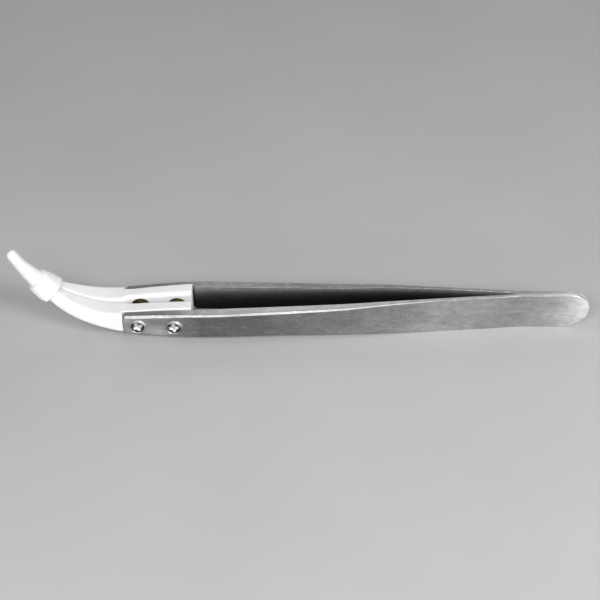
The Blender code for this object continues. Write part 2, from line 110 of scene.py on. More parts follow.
# length along the curve, height, outer y, inner y, radii: outer low, outer high, inner
TIP_STATIONS = (
    (0.0, 5.15, 5.70, 0.34, 0.85, 1.50, 0.95),
    (1.2, 4.95, 5.65, 0.16, 0.90, 1.40, 0.92),
    (3.0, 4.65, 5.48, 0.12, 1.00, 1.20, 0.86),
    (5.3, 4.30, 5.20, 0.12, 1.05, 1.08, 0.76),
    (7.8, 4.10, 4.82, 0.11, 1.08, 1.08, 0.66),
    (10.3, 3.90, 4.38, 0.11, 1.08, 1.08, 0.58),
    (12.8, 3.76, 3.81, 0.10, 1.05, 1.05, 0.52),
    (15.0, 3.58, 3.18, 0.10, 1.02, 1.02, 0.46),
    (16.7, 3.36, 2.66, 0.10, 1.00, 1.00, 0.40),
    (19.0, 2.66, 2.10, 0.10, 0.90, 0.90, 0.32),
    (21.3, 1.90, 1.52, 0.09, 0.80, 0.80, 0.26),
    (25.6, 1.26, 0.98, 0.08, 0.50, 0.50, 0.18),
    (29.2, 0.84, 0.62, 0.07, 0.30, 0.30, 0.12),
    (TIP_END, 0.56, 0.44, 0.07, 0.18, 0.18, 0.09),
)

# screws, their pockets in the arms, and the inserts in the tips
FASTENER_X = {
    "left": {"front": -37.15, "rear": -28.85},
    "right": {"front": -36.93, "rear": -28.54},
}
FASTENER_Z = {"left": -0.525, "right": -0.225}
POCKET_R = 1.64
POCKET_DEPTH = 0.95
CLEARANCE_R = 1.08
BURR_TURN = 54.0  # degrees from the rear (+X) upwards, to the highest part of the burr
HEAD_R = 1.36
HEAD_H = 0.82
HEAD_WALL = HEAD_H * 0.40
SHANK_R = 0.95
SHANK_L = 3.25
THREAD_PITCH = 0.40
SCREW_THREAD = 0.13  # thread depths
INSERT_THREAD = 0.12
CROSS_TURN = {"front": 27.0, "rear": 7.0}
CROSS_HALF_WIDTH = 0.40
CROSS_REACH = 1.20
CROSS_FILLET = 0.13
# height above the head's seat, scale of the cross outline
CROSS_LEVELS = (
    (HEAD_H + 0.40, 1.45), (HEAD_H, 1.10), (HEAD_H - 0.16, 0.96),
    (HEAD_H - 0.34, 0.72), (HEAD_H - 0.42, 0.36),
)
INSERT_R = 2.20
INSERT_BORE_R = 1.03
INSERT_POCKET_R = 2.26
INSERT_RECESS = 0.14

# cap over the tips, in lengths along the tip curve
CAP_MOUTH = 16.90
CAP_FRONT = 22.0  # step between the wide sleeve and the nose
# length, half width in y, half height, superellipse power, raise, slant of the ring
CAP_OUTER = (
    (CAP_MOUTH, 3.10, 2.66, 2.5, -0.04, -0.42),
    (CAP_MOUTH + 0.12, 3.22, 2.80, 2.5, -0.04, -0.42),
    (CAP_MOUTH + 0.45, 3.30, 2.93, 2.5, -0.04, -0.42),
    (18.6, 3.28, 3.02, 2.4, -0.05, -0.30),
    (20.3, 3.06, 2.93, 2.2, -0.08, -0.05),
    (CAP_FRONT - 0.5, 2.74, 2.72, 2.1, -0.14, 0.15),
    (CAP_FRONT - 0.1, 2.58, 2.56, 2.1, -0.16, 0.25),
    (CAP_FRONT, 2.46, 2.44, 2.1, -0.16, 0.28),
    (CAP_FRONT + 0.12, 2.12, 2.08, 2.0, -0.08, 0.28),
    (CAP_FRONT + 0.5, 2.03, 2.00, 2.0, -0.06, 0.20),
    (23.8, 1.85, 1.84, 2.0, -0.04, 0.0),
    (25.4, 1.62, 1.64, 2.0, -0.04, 0.0),
    (27.0, 1.42, 1.44, 2.0, 0.0, 0.0),
    (28.6, 1.31, 1.33, 2.0, 0.10, 0.0),
    (29.9, 1.26, 1.27, 2.0, 0.20, 0.0),
    (30.6, 1.16, 1.16, 2.0, 0.26, 0.0),
    (31.1, 0.91, 0.91, 2.0, 0.30, 0.0),
    (31.38, 0.52, 0.52, 2.0, 0.32, 0.0),
)
CAP_INNER = (
    (CAP_MOUTH, 2.86, 2.24, 2.9, 0.0, -0.42),
    (18.9, 2.44, 1.98, 2.6, 0.0, -0.25),
    (21.3, 1.76, 1.66, 2.1, 0.0, 0.0),
    (25.6, 1.26, 1.20, 2.0, -0.08, 0.0),
    (29.7, 0.80, 0.80, 2.0, 0.03, 0.0),
    (30.4, 0.46, 0.46, 2.0, 0.08, 0.0),
)
CAP_SEGMENTS = 96


# ------------------------------------------------------------------ curves and positions
def knot_slope(xs, slopes, k):
    """Slope of the monotone cubic at knot k, from the slopes of the spans beside it."""
    if k == 0:
        return slopes[0]
    if k == len(xs) - 1:
        return slopes[-1]
    if slopes[k - 1] * slopes[k] <= 0:
        return 0.0
    before, after = xs[k] - xs[k - 1], xs[k + 1] - xs[k]
    weight_0, weight_1 = 2 * after + before, after + 2 * before
    return (weight_0 + weight_1) / (weight_0 / slopes[k - 1] + weight_1 / slopes[k])


def smooth(rows, x):
    """Monotone cubic through rows of (x, v1, v2, ...): returns (v1, v2, ...) at x."""
    xs = [row[0] for row in rows]
    if x <= xs[0]:
        return rows[0][1:]
    if x >= xs[-1]:
        return rows[-1][1:]
    i = max(k for k in range(len(xs) - 1) if xs[k] <= x)
    span = xs[i + 1] - xs[i]
    t = (x - xs[i]) / span
    out = []
    for column in range(1, len(rows[0])):
        v = [row[column] for row in rows]
        slopes = [(v[k + 1] - v[k]) / (xs[k + 1] - xs[k]) for k in range(len(xs) - 1)]
        out.append(
            (2 * t**3 - 3 * t**2 + 1) * v[i]
            + (t**3 - 2 * t**2 + t) * span * knot_slope(xs, slopes, i)
            + (-2 * t**3 + 3 * t**2) * v[i + 1]
            + (t**3 - t**2) * span * knot_slope(xs, slopes, i + 1)
        )
    return tuple(out)


def ease(t):
    t = min(1.0, max(0.0, t))
    return t * t * (3 - 2 * t)


def round_over(inset, run, distance):
    """Inset of a quarter-round edge at a distance from the end; 0 once past its run."""
    left = 1 - min(1.0, distance / run)
    return inset * (1 - math.sqrt(max(0.0, 1 - left * left)))


def stepped(start, stop, step):
    """Values from start in equal steps, up or down, ending before stop."""
    values = []
    while (stop - start) * step > 0:
        values.append(start)
        start += step
    return values


def centreline(along):
    """x, z and slope angle of the tips' centreline."""
    bend = min(along, BEND_END) / TIP_RADIUS
    x = ARM_FRONT_X - TIP_RADIUS * math.sin(bend)
    z = TIP_MID_Z + TIP_RADIUS * (1 - math.cos(bend))
    if along > BEND_END:
        more = (along - BEND_END) / NOSE_RADIUS
        x -= NOSE_RADIUS * (math.sin(bend + more) - math.sin(bend))
        z += NOSE_RADIUS * (math.cos(bend) - math.cos(bend + more))
        bend += more
    return x, z, bend


def on_curve(along, y, above):
    """Point at y and at a height square to the tips' centreline."""
    x, z, bend = centreline(along)
    return (DATUM_X + x + above * math.sin(bend), y, MID_Z + z + above * math.cos(bend))


def seat_face(label, x):
    front, rear = SEAT_FACE[label]
    return front + (rear - front) * (x - ARM_FRONT_X) / (SEAT_REAR_X - ARM_FRONT_X)


def fastener_axis(label, where):
    return (DATUM_X + FASTENER_X[label][where], 0.0, MID_Z + FASTENER_Z[label])


def arm_face(label, where):
    """y of the arm's outer face at a screw."""
    return smooth(ARM_STATIONS, FASTENER_X[label][where])[0]


def tip_face(label, where):
    """y of the tip's inner face at a screw."""
    return smooth(SEAT_STATIONS[label], FASTENER_X[label][where])[0]


def turned(x, z, angle):
    cos, sin = math.cos(angle), math.sin(angle)
    return (x * cos - z * sin, x * sin + z * cos)


# ------------------------------------------------------------------ shape helpers
def fillet(points, radii, steps):
    """Round the corners of a closed polygon; each corner becomes steps + 1 points."""
    ring = []
    for i, (point, radius) in enumerate(zip(points, radii)):
        corner = Vector(point)
        back = Vector(points[i - 1]) - corner
        ahead = Vector(points[(i + 1) % len(points)]) - corner
        back_length, ahead_length = back.length, ahead.length
        back.normalize()
        ahead.normalize()
        half = math.acos(max(-1, min(1, back.dot(ahead)))) / 2
        cut = min(radius / math.tan(half), 0.48 * back_length, 0.48 * ahead_length)
        radius = cut * math.tan(half)
        centre = corner + (back + ahead).normalized() * (radius / math.sin(half))
        start, end = corner + back * cut - centre, corner + ahead * cut - centre
        turn = math.pi - 2 * half
        sign = 1 if (start.x * end.y - start.y * end.x) > 0 else -1
        for k in range(steps + 1):
            q = centre + Vector(turned(start.x, start.y, sign * turn * k / steps))
            ring.append((q.x, q.y))
    return ring


def add_between(ring, counts, hold):
    """Add counts[i] points on the straight run after filleted corner i. The outer two sit
    close to its ends (hold), so that the flat faces stay flat up to their rounded edges."""
    per_corner = len(ring) // len(counts)
    out = []
    for i, point in enumerate(ring):
        p, q = Vector(point), Vector(ring[(i + 1) % len(ring)])
        out.append(tuple(p))
        if (i + 1) % per_corner:
            continue
        count = counts[i // per_corner]
        near = min(0.25, hold / max(1e-6, (q - p).length))
        for k in range(count):
            out.append(tuple(p.lerp(q, near + (1 - 2 * near) * k / (count - 1))))
    return out


def skin(shape, rings, closed=False):
    """Join rings of points (mm) with quads; closed joins the last ring to the first."""
    loops = [[shape.verts.new(Vector(p) * MM) for p in ring] for ring in rings]
    following = loops[1:] + loops[:1] if closed else loops[1:]
    for a, b in zip(loops, following):
        count = len(a)
        for k in range(count):
            shape.faces.new((a[k], a[(k + 1) % count], b[(k + 1) % count], b[k]))
    return loops


def finish_mesh(shape, name):
    bmesh.ops.recalc_face_normals(shape, faces=shape.faces)
    if shape.calc_volume(signed=True) < 0:
        bmesh.ops.reverse_faces(shape, faces=shape.faces)
    mesh = bpy.data.meshes.new(name)
    shape.to_mesh(mesh)
    shape.free()
    return mesh


def mesh_from_rings(name, rings):
    shape = bmesh.new()
    loops = skin(shape, rings)
    shape.faces.new(list(reversed(loops[0])))
    shape.faces.new(loops[-1])
    return finish_mesh(shape, name)


def lathe(name, profile, segments=64):
    """Turn a profile of (radius, height) about Y; radius 0 ends are poles."""
    shape = bmesh.new()
    loops = []
    for radius, height in profile:
        if radius == 0:
            loops.append([shape.verts.new((0, height * MM, 0))])
            continue
        loop = []
        for k in range(segments):
            angle = 2 * math.pi * k / segments
            x, z = radius * MM * math.cos(angle), radius * MM * math.sin(angle)
            loop.append(shape.verts.new((x, height * MM, z)))
        loops.append(loop)
    pairs = list(zip(loops, loops[1:]))
    if profile[0][0] != 0:
        pairs.append((loops[-1], loops[0]))
    for a, b in pairs:
        for k in range(segments):
            k2 = (k + 1) % segments
            if len(a) == 1:
                shape.faces.new((a[0], b[k], b[k2]))
            elif len(b) == 1:
                shape.faces.new((a[k], b[0], a[k2]))
            else:
                shape.faces.new((a[k], b[k], b[k2], a[k2]))
    return finish_mesh(shape, name)


def outward(mesh, side):
    """Mirror a mesh drawn towards +Y when it belongs to the -Y side."""
    if side < 0:
        mesh.transform(Matrix.Scale(-1, 4, Vector((0, 1, 0))))
        mesh.flip_normals()
    return mesh


def place(name, mesh, at=(0, 0, 0)):
    """Link a piece, moved to its place in mm, with its object at the origin."""
    mesh.transform(Matrix.Translation(Vector(at) * MM))
    obj = bpy.data.objects.new(name, mesh)
    bpy.context.scene.collection.objects.link(obj)
    return obj


def combine_solids(obj, tools, operation="DIFFERENCE", keep_tool_material=False):
    """Cut solids out of obj, or join them to it, and keep the result as its mesh."""
    for tool in tools:
        modifier = obj.modifiers.new("solid", "BOOLEAN")
        modifier.operation = operation
        modifier.solver = "EXACT"
        if keep_tool_material:
            modifier.material_mode = "TRANSFER"
        modifier.object = tool
    bpy.context.view_layer.update()
    graph = bpy.context.evaluated_depsgraph_get()
    made = bpy.data.meshes.new_from_object(obj.evaluated_get(graph))
    obj.modifiers.clear()
    old = obj.data
    obj.data = made
    bpy.data.meshes.remove(old)
    for tool in tools:
        bpy.data.objects.remove(tool)


def shade(obj, degrees):
    obj.data.shade_smooth()
    obj.data.set_sharp_from_angle(angle=math.radians(degrees))


# ------------------------------------------------------------------ material helper
class Surface:
    """A material with a Principled shader; each method adds a node, returns its output."""

    def __init__(self, name):
        self.material = bpy.data.materials.new(name)
        self.material.use_nodes = True
        self.tree = self.material.node_tree
        self.shader = self.tree.nodes["Principled BSDF"]

    def node(self, kind):
        return self.tree.nodes.new("ShaderNode" + kind)

    def feed(self, socket, value):
        """Set a socket to a number or tuple, or link an output to it."""
        if isinstance(value, (int, float, tuple)):
            socket.default_value = value
        else:
            self.tree.links.new(value, socket)

    def set(self, values):
        for name, value in values.items():
            self.feed(self.shader.inputs[name], value)

    def noise(self, cells, detail, rough, distortion=0.0, turn=(0, 0, 0)):
        """Noise in object space; cells per mm, alike on all axes or one number for each."""
        if not isinstance(cells, tuple):
            cells = (cells,) * 3
        place_in = self.node("TexCoord")
        mapping = self.node("Mapping")
        mapping.inputs["Scale"].default_value = [1000 * c for c in cells]
        mapping.inputs["Rotation"].default_value = turn
        self.feed(mapping.inputs["Vector"], place_in.outputs["Object"])
        texture = self.node("TexNoise")
        texture.inputs["Scale"].default_value = 1.0
        texture.inputs["Detail"].default_value = detail
        texture.inputs["Roughness"].default_value = rough
        texture.inputs["Distortion"].default_value = distortion
        self.feed(texture.inputs["Vector"], mapping.outputs["Vector"])
        return texture.outputs["Fac"]

    def ramp(self, value, stops):
        """Colour ramp through stops of (position, grey or colour)."""
        node = self.node("ValToRGB")
        elements = node.color_ramp.elements
        while len(elements) < len(stops):
            elements.new(0.5)
        for element, (position, colour) in zip(elements, stops):
            element.position = position
            element.color = (*(colour if isinstance(colour, tuple) else (colour,) * 3), 1)
        self.feed(node.inputs["Fac"], value)
        return node.outputs["Color"]

    def above(self, value, start, full):
        """0 below start, rising to 1 at full."""
        return self.ramp(value, ((0.0, 0.0), (start, 0.0), (full, 1.0), (1.0, 1.0)))

    def mix(self, share, first, second, mode="MIX"):
        node = self.node("Mix")
        node.data_type = "RGBA"
        node.blend_type = mode
        node.clamp_result = True
        if isinstance(second, tuple):
            second = (*second, 1)
        # inputs 6 and 7 are the two colours
        for value, index in ((share, 0), (first, 6), (second, 7)):
            self.feed(node.inputs[index], value)
        return node.outputs[2]

    def maths(self, operation, first, second=None):
        node = self.node("Math")
        node.operation = operation
        self.feed(node.inputs[0], first)
        if second is not None:
            self.feed(node.inputs[1], second)
        return node.outputs[0]

    def plus(self, first, second):
        return self.maths("ADD", first, second)

    def minus(self, first, second):
        return self.maths("SUBTRACT", first, second)

    def times(self, first, second):
        return self.maths("MULTIPLY", first, second)

    def remap(self, value, span, to=(0.0, 1.0)):
        """Carry span over to another range, clamped."""
        node = self.node("MapRange")
        node.clamp = True
        for socket, limit in zip(node.inputs[1:5], (*span, *to)):
            socket.default_value = limit
        self.feed(node.inputs[0], value)
        return node.outputs[0]

    def position(self, axis):
        """Object coordinate along one axis, in millimetres."""
        place_in = self.node("TexCoord")
        parts = self.node("SeparateXYZ")
        self.feed(parts.inputs[0], place_in.outputs["Object"])
        return self.times(parts.outputs[axis], 1000.0)

    def scaled(self, colour, factor):
        """Colour multiplied by a value."""
        grey = self.node("CombineXYZ")
        for k in range(3):
            self.feed(grey.inputs[k], factor)
        return self.mix(1.0, colour, grey.outputs[0], "MULTIPLY")

    def bump(self, height, strength, depth_mm):
        node = self.node("Bump")
        node.inputs["Strength"].default_value = strength
        node.inputs["Distance"].default_value = depth_mm * MM
        self.feed(node.inputs["Height"], height)
        self.set({"Normal": node.outputs["Normal"]})


# ------------------------------------------------------------------ brushed steel
# Steel grey with painted light and shade: brightness of each kind of face along the arm,
# brighter towards the lit tail: (x, brightness). Near is the left arm (-Y).
TONE_SPAN = (-41.0, 67.0)
FACE_GREY_AND_PAINTED_LIGHT = (
    (-40, 0.50), (-36, 0.42), (-31, 0.36), (-23, 0.21), (-13, 0.20), (0, 0.275), (12, 0.325),
    (23, 0.40), (31, 0.52), (42, 0.49), (53, 0.475), (58, 0.53), (62, 0.70), (65, 0.90),
)
NEAR_TOP_PAINTED_LIGHT = (
    (-40, 0.26), (-31, 0.30), (-23, 0.56), (0, 0.58), (12, 0.56), (23, 0.45),
    (32, 0.44), (42, 0.38), (53, 0.45), (60, 0.75), (65, 0.98),
)
FAR_TOP_PAINTED_LIGHT = (
    (-31, 0.30), (-23, 0.38), (-13, 0.37), (0, 0.25), (12, 0.27), (23, 0.24),
    (42, 0.27), (53, 0.33), (60, 0.50), (65, 0.80),
)
NEAR_SLOPE_PAINTED_LIGHT = (
    (-40, 0.34), (-14, 0.34), (0, 0.46), (12, 0.40), (23, 0.44), (30, 0.30),
    (42, 0.29), (53, 0.42), (60, 0.65), (65, 0.98),
)
FAR_SLOPE_PAINTED_LIGHT = ((-40, 0.31), (48, 0.31), (57, 0.55), (64, 0.95))
# share of the depth of painted shade below the top edge, brightness of the inner faces under
# painted shade
INSIDE_SHADE_DEPTH = 5.0
INSIDE_PAINTED_SHADE = (
    (0.0, 0.60), (0.13, 0.58), (0.22, 0.34), (0.32, 0.20), (0.44, 0.11),
    (0.60, 0.055), (0.80, 0.030), (1.0, 0.022),
)
GLINT_TURN = 50.0  # degrees from the rear upwards, to the middle of the painted glint on the burr


def burr_glint_share(mat, x, z, label, where):
    """Share of painted glint on the upper rear side of the burr round one screw pocket."""
    centre_x, _, centre_z = fastener_axis(label, where)
    across = mat.minus(x, centre_x)
    up = mat.minus(z, centre_z)
    radius = mat.maths("SQRT", mat.plus(mat.times(across, across), mat.times(up, up)))
    turn = math.radians(GLINT_TURN)
    towards = mat.plus(mat.times(across, math.cos(turn)), mat.times(up, math.sin(turn)))
    towards = mat.remap(mat.maths("DIVIDE", towards, radius), span=(0.84, 0.99))
    band = mat.times(
        mat.remap(radius, span=(POCKET_R - 0.05, POCKET_R + 0.12)),
        mat.remap(radius, span=(POCKET_R + 0.52, POCKET_R + 0.82), to=(1.0, 0.0)),
    )
    return mat.times(towards, band)


def brushed_grain(mat, x):
    """Grain across the arm that turns lengthwise towards the tail."""
    lengthwise = mat.plus(
        mat.remap(x, span=(8.0, 36.0), to=(0.0, 0.52)),
        mat.remap(x, span=(50.0, 62.0), to=(0.0, 0.38)),
    )
    across = mat.noise((7.5, 1.0, 0.30), detail=6, rough=0.75)
    length = mat.noise((0.11, 1.2, 5.0), detail=5, rough=0.70, distortion=0.15)
    return mat.mix(lengthwise, across, length)


def tone_along(mat, x, rows):
    """Slightly blue grey that follows rows of (x, brightness)."""
    start, end = TONE_SPAN
    share = mat.remap(x, span=TONE_SPAN)
    stops = [((px - start) / (end - start), (v, v * 1.005, v * 1.015)) for px, v in rows]
    return mat.ramp(share, stops)


def inside_painted_shade(mat, x):
    """Painted shade on the inner faces, darker with depth below the top edge of the arm."""
    top = mat.plus(mat.remap(x, span=(-24.0, 30.0), to=(3.30, 4.62)), MID_Z)
    depth = mat.minus(top, mat.position("Z"))
    depth = mat.times(depth, mat.remap(x, span=(-24.0, 26.0), to=(0.76, 1.28)))
    return mat.ramp(mat.maths("DIVIDE", depth, INSIDE_SHADE_DEPTH), INSIDE_PAINTED_SHADE)


def steel_tone_and_painted_light(mat, x, y):
    """Steel tone with painted light and shade by kind of face, and the share of inner face at
    each point.
    """
    near = mat.remap(y, span=(-0.02, 0.02), to=(1.0, 0.0))
    normal = mat.node("SeparateXYZ")
    mat.feed(normal.inputs[0], mat.node("NewGeometry").outputs["Normal"])
    normal_y, normal_z = normal.outputs["Y"], normal.outputs["Z"]
    # shares of upward and sloping faces, which carry painted light below
    up = mat.remap(normal_z, span=(0.80, 0.96))
    slope = mat.times(
        mat.remap(normal_z, span=(0.28, 0.50)),
        mat.remap(normal_z, span=(0.80, 0.94), to=(1.0, 0.0)),
    )
    facing_in = mat.times(mat.times(normal_y, -1.0), mat.maths("SIGN", y))
    inward = mat.remap(facing_in, span=(0.45, 0.80))

    clouds = mat.noise((0.11, 0.2, 0.30), detail=3, rough=0.6)
    clouds = mat.remap(clouds, span=(0.30, 0.72), to=(0.84, 1.14))
    base = mat.scaled(tone_along(mat, x, FACE_GREY_AND_PAINTED_LIGHT), clouds)
    # painted light: top and sloping faces lighter or darker than the outer face, and different
    # on the near and far arms
    for share, far_rows, near_rows in (
        (up, FAR_TOP_PAINTED_LIGHT, NEAR_TOP_PAINTED_LIGHT),
        (slope, FAR_SLOPE_PAINTED_LIGHT, NEAR_SLOPE_PAINTED_LIGHT),
    ):
        far_tone, near_tone = tone_along(mat, x, far_rows), tone_along(mat, x, near_rows)
        base = mat.mix(share, base, mat.mix(near, far_tone, near_tone))
    # painted shade on the inner faces, deepening down the gap between the arms
    base = mat.mix(inward, base, inside_painted_shade(mat, x))

    # painted reflection: a pale patch of light between the two screws
    z = mat.position("Z")
    from_x = mat.maths("ABSOLUTE", mat.plus(x, 33.0))
    from_z = mat.maths("ABSOLUTE", mat.minus(z, 2.7))
    between = mat.times(
        mat.remap(from_x, span=(0.6, 3.8), to=(1.0, 0.0)),
        mat.remap(from_z, span=(0.5, 2.6), to=(1.0, 0.0)),
    )
    base = mat.mix(mat.times(between, 0.72), base, (0.74, 0.735, 0.73))
    # painted glint on the upper rear side of each screw's burr
    for label in FASTENER_X:
        for where in FASTENER_X[label]:
            here = near if label == "left" else mat.minus(1.0, near)
            painted_glint = mat.times(burr_glint_share(mat, x, z, label, where), here)
            base = mat.mix(mat.times(painted_glint, 0.70), base, (0.90, 0.89, 0.88))
    return base, inward


def steel_material():
    """Cross-brushed stainless: fine grain across the arm, with lengthwise polish at the tail,
    long stray scratches, handling marks and specks, and painted light, shade and glints."""
    mat = Surface("brushed_stainless")
    x, y = mat.position("X"), mat.position("Y")
    grain = brushed_grain(mat, x)
    fine = mat.noise((24.0, 2.0, 0.8), detail=3, rough=0.65)
    stray = mat.noise(
        (0.42, 2.0, 4.2), detail=3, rough=0.6, distortion=0.1, turn=(0, 0.06, 0)
    )
    scratch = mat.above(stray, start=0.635, full=0.70)
    stains = mat.noise((0.5, 0.9, 0.95), detail=4, rough=0.62)
    speck = mat.above(mat.noise((2.6, 2.6, 3.0), detail=2, rough=0.5), start=0.71, full=0.76)
    fleck = mat.above(mat.noise((1.7, 2.0, 2.6), detail=2, rough=0.5), start=0.735, full=0.77)

    base, inward = steel_tone_and_painted_light(mat, x, y)
    # scratches and flecks hardly show on the inner faces
    outside = mat.minus(1.0, mat.times(inward, 0.92))
    scratch = mat.times(scratch, outside)
    fleck = mat.times(fleck, outside)
    base = mat.scaled(base, mat.remap(grain, span=(0.22, 0.78), to=(0.68, 1.22)))
    base = mat.scaled(base, mat.remap(stains, span=(0.3, 0.7), to=(0.84, 1.14)))
    for mark, strength, colour in (
        (scratch, 0.45, (0.78, 0.78, 0.78)),
        (fleck, 0.85, (0.95, 0.95, 0.95)),
        (speck, 0.45, (0.10, 0.10, 0.105)),
    ):
        base = mat.mix(mat.times(mark, strength), base, colour)

    rough = mat.remap(grain, span=(0.2, 0.8), to=(0.32, 0.48))
    rough = mat.minus(rough, mat.times(scratch, 0.06))
    rough = mat.plus(rough, mat.times(speck, 0.15))
    rough = mat.plus(rough, mat.remap(stains, span=(0.3, 0.7), to=(0.05, -0.03)))
    # the highlights are stretched along X and turn by a quarter at the tail
    tangent = mat.node("CombineXYZ")
    tangent.inputs[0].default_value = 1.0
    tail = mat.remap(x, span=(50.0, 63.0))
    mat.set({
        "Base Color": base,
        "Metallic": mat.remap(x, span=(54.0, 64.0), to=(0.78, 0.60)),
        "Roughness": rough,
        "Anisotropic": 0.5,
        "Anisotropic Rotation": mat.times(tail, 0.25),
        "Tangent": tangent.outputs[0],
    })
    height = mat.plus(grain, mat.times(fine, 0.5))
    height = mat.minus(height, mat.times(scratch, 0.35))
    height = mat.minus(height, mat.times(speck, 0.6))
    mat.bump(height, strength=0.45, depth_mm=0.014)
    return mat.material


# ------------------------------------------------------------------ other materials
def ceramic_material():
    """Dense white ceramic: satin gloss, light scattering inside, faint moulding texture."""
    mat = Surface("white_ceramic")
    tone = mat.noise(0.35, detail=3, rough=0.5)
    smear = mat.noise((0.6, 1.4, 1.4), detail=4, rough=0.6)
    mat.set({
        "Base Color": mat.ramp(
            tone, ((0.3, (0.875, 0.88, 0.882)), (0.7, (0.915, 0.915, 0.912)))
        ),
        "Roughness": mat.remap(smear, span=(0.3, 0.7), to=(0.30, 0.42)),
        "Subsurface Weight": 0.22,
        "Subsurface Radius": (1.0, 0.9, 0.8),
        "Subsurface Scale": 0.0007,
        "Coat Weight": 0.10,
        "Coat Roughness": 0.18,
    })
    micro = mat.noise(7, detail=4, rough=0.6)
    wave = mat.noise(0.9, detail=2, rough=0.4)
    mat.bump(mat.plus(mat.times(micro, 0.25), wave), strength=0.10, depth_mm=0.03)
    return mat.material


def cap_material():
    """Milky soft plastic: matt, scattering, slightly uneven."""
    mat = Surface("soft_white_cap")
    tone = mat.noise(0.5, detail=4, rough=0.6)
    mat.set({
        "Base Color": mat.ramp(
            tone, ((0.3, (0.89, 0.895, 0.895)), (0.7, (0.94, 0.94, 0.935)))
        ),
        "Roughness": mat.remap(tone, span=(0.3, 0.7), to=(0.44, 0.58)),
        "Subsurface Weight": 0.45,
        "Subsurface Radius": (1.0, 0.95, 0.9),
        "Subsurface Scale": 0.0011,
        "Sheen Weight": 0.08,
    })
    micro = mat.noise(11, detail=4, rough=0.65)
    wave = mat.noise(1.3, detail=3, rough=0.5)
    mat.bump(mat.plus(mat.times(micro, 0.3), wave), strength=0.22, depth_mm=0.05)
    return mat.material


def marked_metal(name, cells, rough, stops, roughness):
    """Metal whose colour and roughness follow one noise; returns the surface and noise."""
    mat = Surface(name)
    marks = mat.noise(cells, detail=5, rough=rough)
    mat.set({
        "Base Color": mat.ramp(marks, stops),
        "Metallic": 1.0,
        "Roughness": mat.remap(marks, span=(0.3, 0.7), to=roughness),
    })
    return mat, marks


def screw_material():
    """Dark screw steel; much of its darkness is painted shade of the pocket round the head."""
    mat, marks = marked_metal(
        "screw_steel_dark", cells=2.0, rough=0.7, roughness=(0.48, 0.34),
        stops=((0.30, (0.045, 0.040, 0.034)), (0.68, (0.19, 0.178, 0.16))),
    )
    fine = mat.noise(9, detail=4, rough=0.6)
    mat.bump(mat.plus(marks, mat.times(fine, 0.4)), strength=0.35, depth_mm=0.03)
    return mat.material


def driven_material():
    """Bright metal of the driver recess, scuffed by the bit, made lighter still as a painted
    highlight.
    """
    mat, marks = marked_metal(
        "screw_steel_bright", cells=3.4, rough=0.7, roughness=(0.52, 0.36),
        stops=((0.26, (0.55, 0.53, 0.49)), (0.52, (0.95, 0.93, 0.90))),
    )
    mat.bump(marks, strength=0.5, depth_mm=0.05)
    return mat.material


def brass_material():
    """Dull brass, darkened as painted shade of the recess it sits in."""
    mat, _ = marked_metal(
        "dull_brass", cells=1.5, rough=0.65, roughness=(0.52, 0.34),
        stops=((0.3, (0.110, 0.080, 0.036)), (0.7, (0.27, 0.200, 0.085))),
    )
    mat.bump(mat.noise(8, detail=3, rough=0.6), strength=0.25, depth_mm=0.02)
    return mat.material


def floor_material():
    """Plain pale studio sheet with the faintest grain."""
    mat = Surface("pale_floor")
    tone = mat.noise(0.02, detail=3, rough=0.5)
    mat.set({
        "Base Color": mat.ramp(tone, ((0.3, (0.50, 0.503, 0.51)), (0.7, (0.53, 0.533, 0.54)))),
        "Roughness": 0.75,
        "Specular IOR Level": 0.25,
    })
    return mat.material


STEEL = steel_material()
CERAMIC = ceramic_material()
CAP_SOFT = cap_material()
SCREW = screw_material()
DRIVEN = driven_material()
BRASS = brass_material()


# ------------------------------------------------------------------ arm
def arm_section(x, label):
    """Ring of (y, z) of the arm at x: two filleted outer bevels and a flat inner face."""
    y_out, y_in, width, bevel = smooth(ARM_STATIONS, x)
    if x <= SEAT_REAR_X:
        y_in = seat_face(label, x)
    front = x - ARM_FRONT_X
    half = width / 2 - round_over(ARM_CORNER, ARM_CORNER, front)
    lift = round_over(ARM_END_BEVEL, ARM_END_BEVEL, front)
    inner_lift = max(0.0, 0.10 - front)
    rear = x - (TAIL_X - TAIL_ROUND)
    rim = 0.0
    if rear > 0:
        half *= math.sqrt(max(0.0, 1 - (rear / TAIL_ROUND) ** 2))
        bevel = min(bevel, 0.45 * half)
        rim = 0.22 * ease((1 - half / (width / 2) - 0.72) / 0.28)
    y_top = y_out - lift - rim
    bevel = min(bevel, 0.42 * (y_top - y_in)) * (1 - 0.5 * ease((x - 5.0) / 32.0))
    corners = (
        (y_top, -half + bevel),
        (y_top, half - bevel),
        (y_top - bevel, half),
        (y_in + inner_lift, half),
        (y_in + inner_lift, -half),
        (y_top - bevel, -half),
    )
    edge = min(0.16, 0.4 * bevel)
    inner = min(0.06, 0.2 * half)
    ring = fillet(corners, (edge, edge, edge, inner, inner, edge), steps=3)
    # outer face, upper bevel, top edge, inner face, lower edge, lower bevel
    return add_between(ring, counts=(10, 2, 4, 8, 4, 2), hold=0.06)


def arm_positions():
    """x of the arm's rings: close together round the front corners and the tail."""
    xs = [ARM_FRONT_X + ARM_CORNER * (1 - math.cos(math.radians(90 * k / 8))) for k in range(9)]
    xs += stepped(xs[-1] + 0.35, SEAT_REAR_X - 0.2, 0.45)
    xs += [SEAT_REAR_X, SEAT_REAR_X + 0.08]
    xs += stepped(SEAT_REAR_X + 0.7, TAIL_X - TAIL_ROUND - 0.5, 1.0)
    steps = 30
    # stops just short of 90 degrees, so that the last ring keeps some height
    xs += [
        TAIL_X - TAIL_ROUND + TAIL_ROUND * math.sin(math.radians(88.5) * k / steps)
        for k in range(steps + 1)
    ]
    return xs


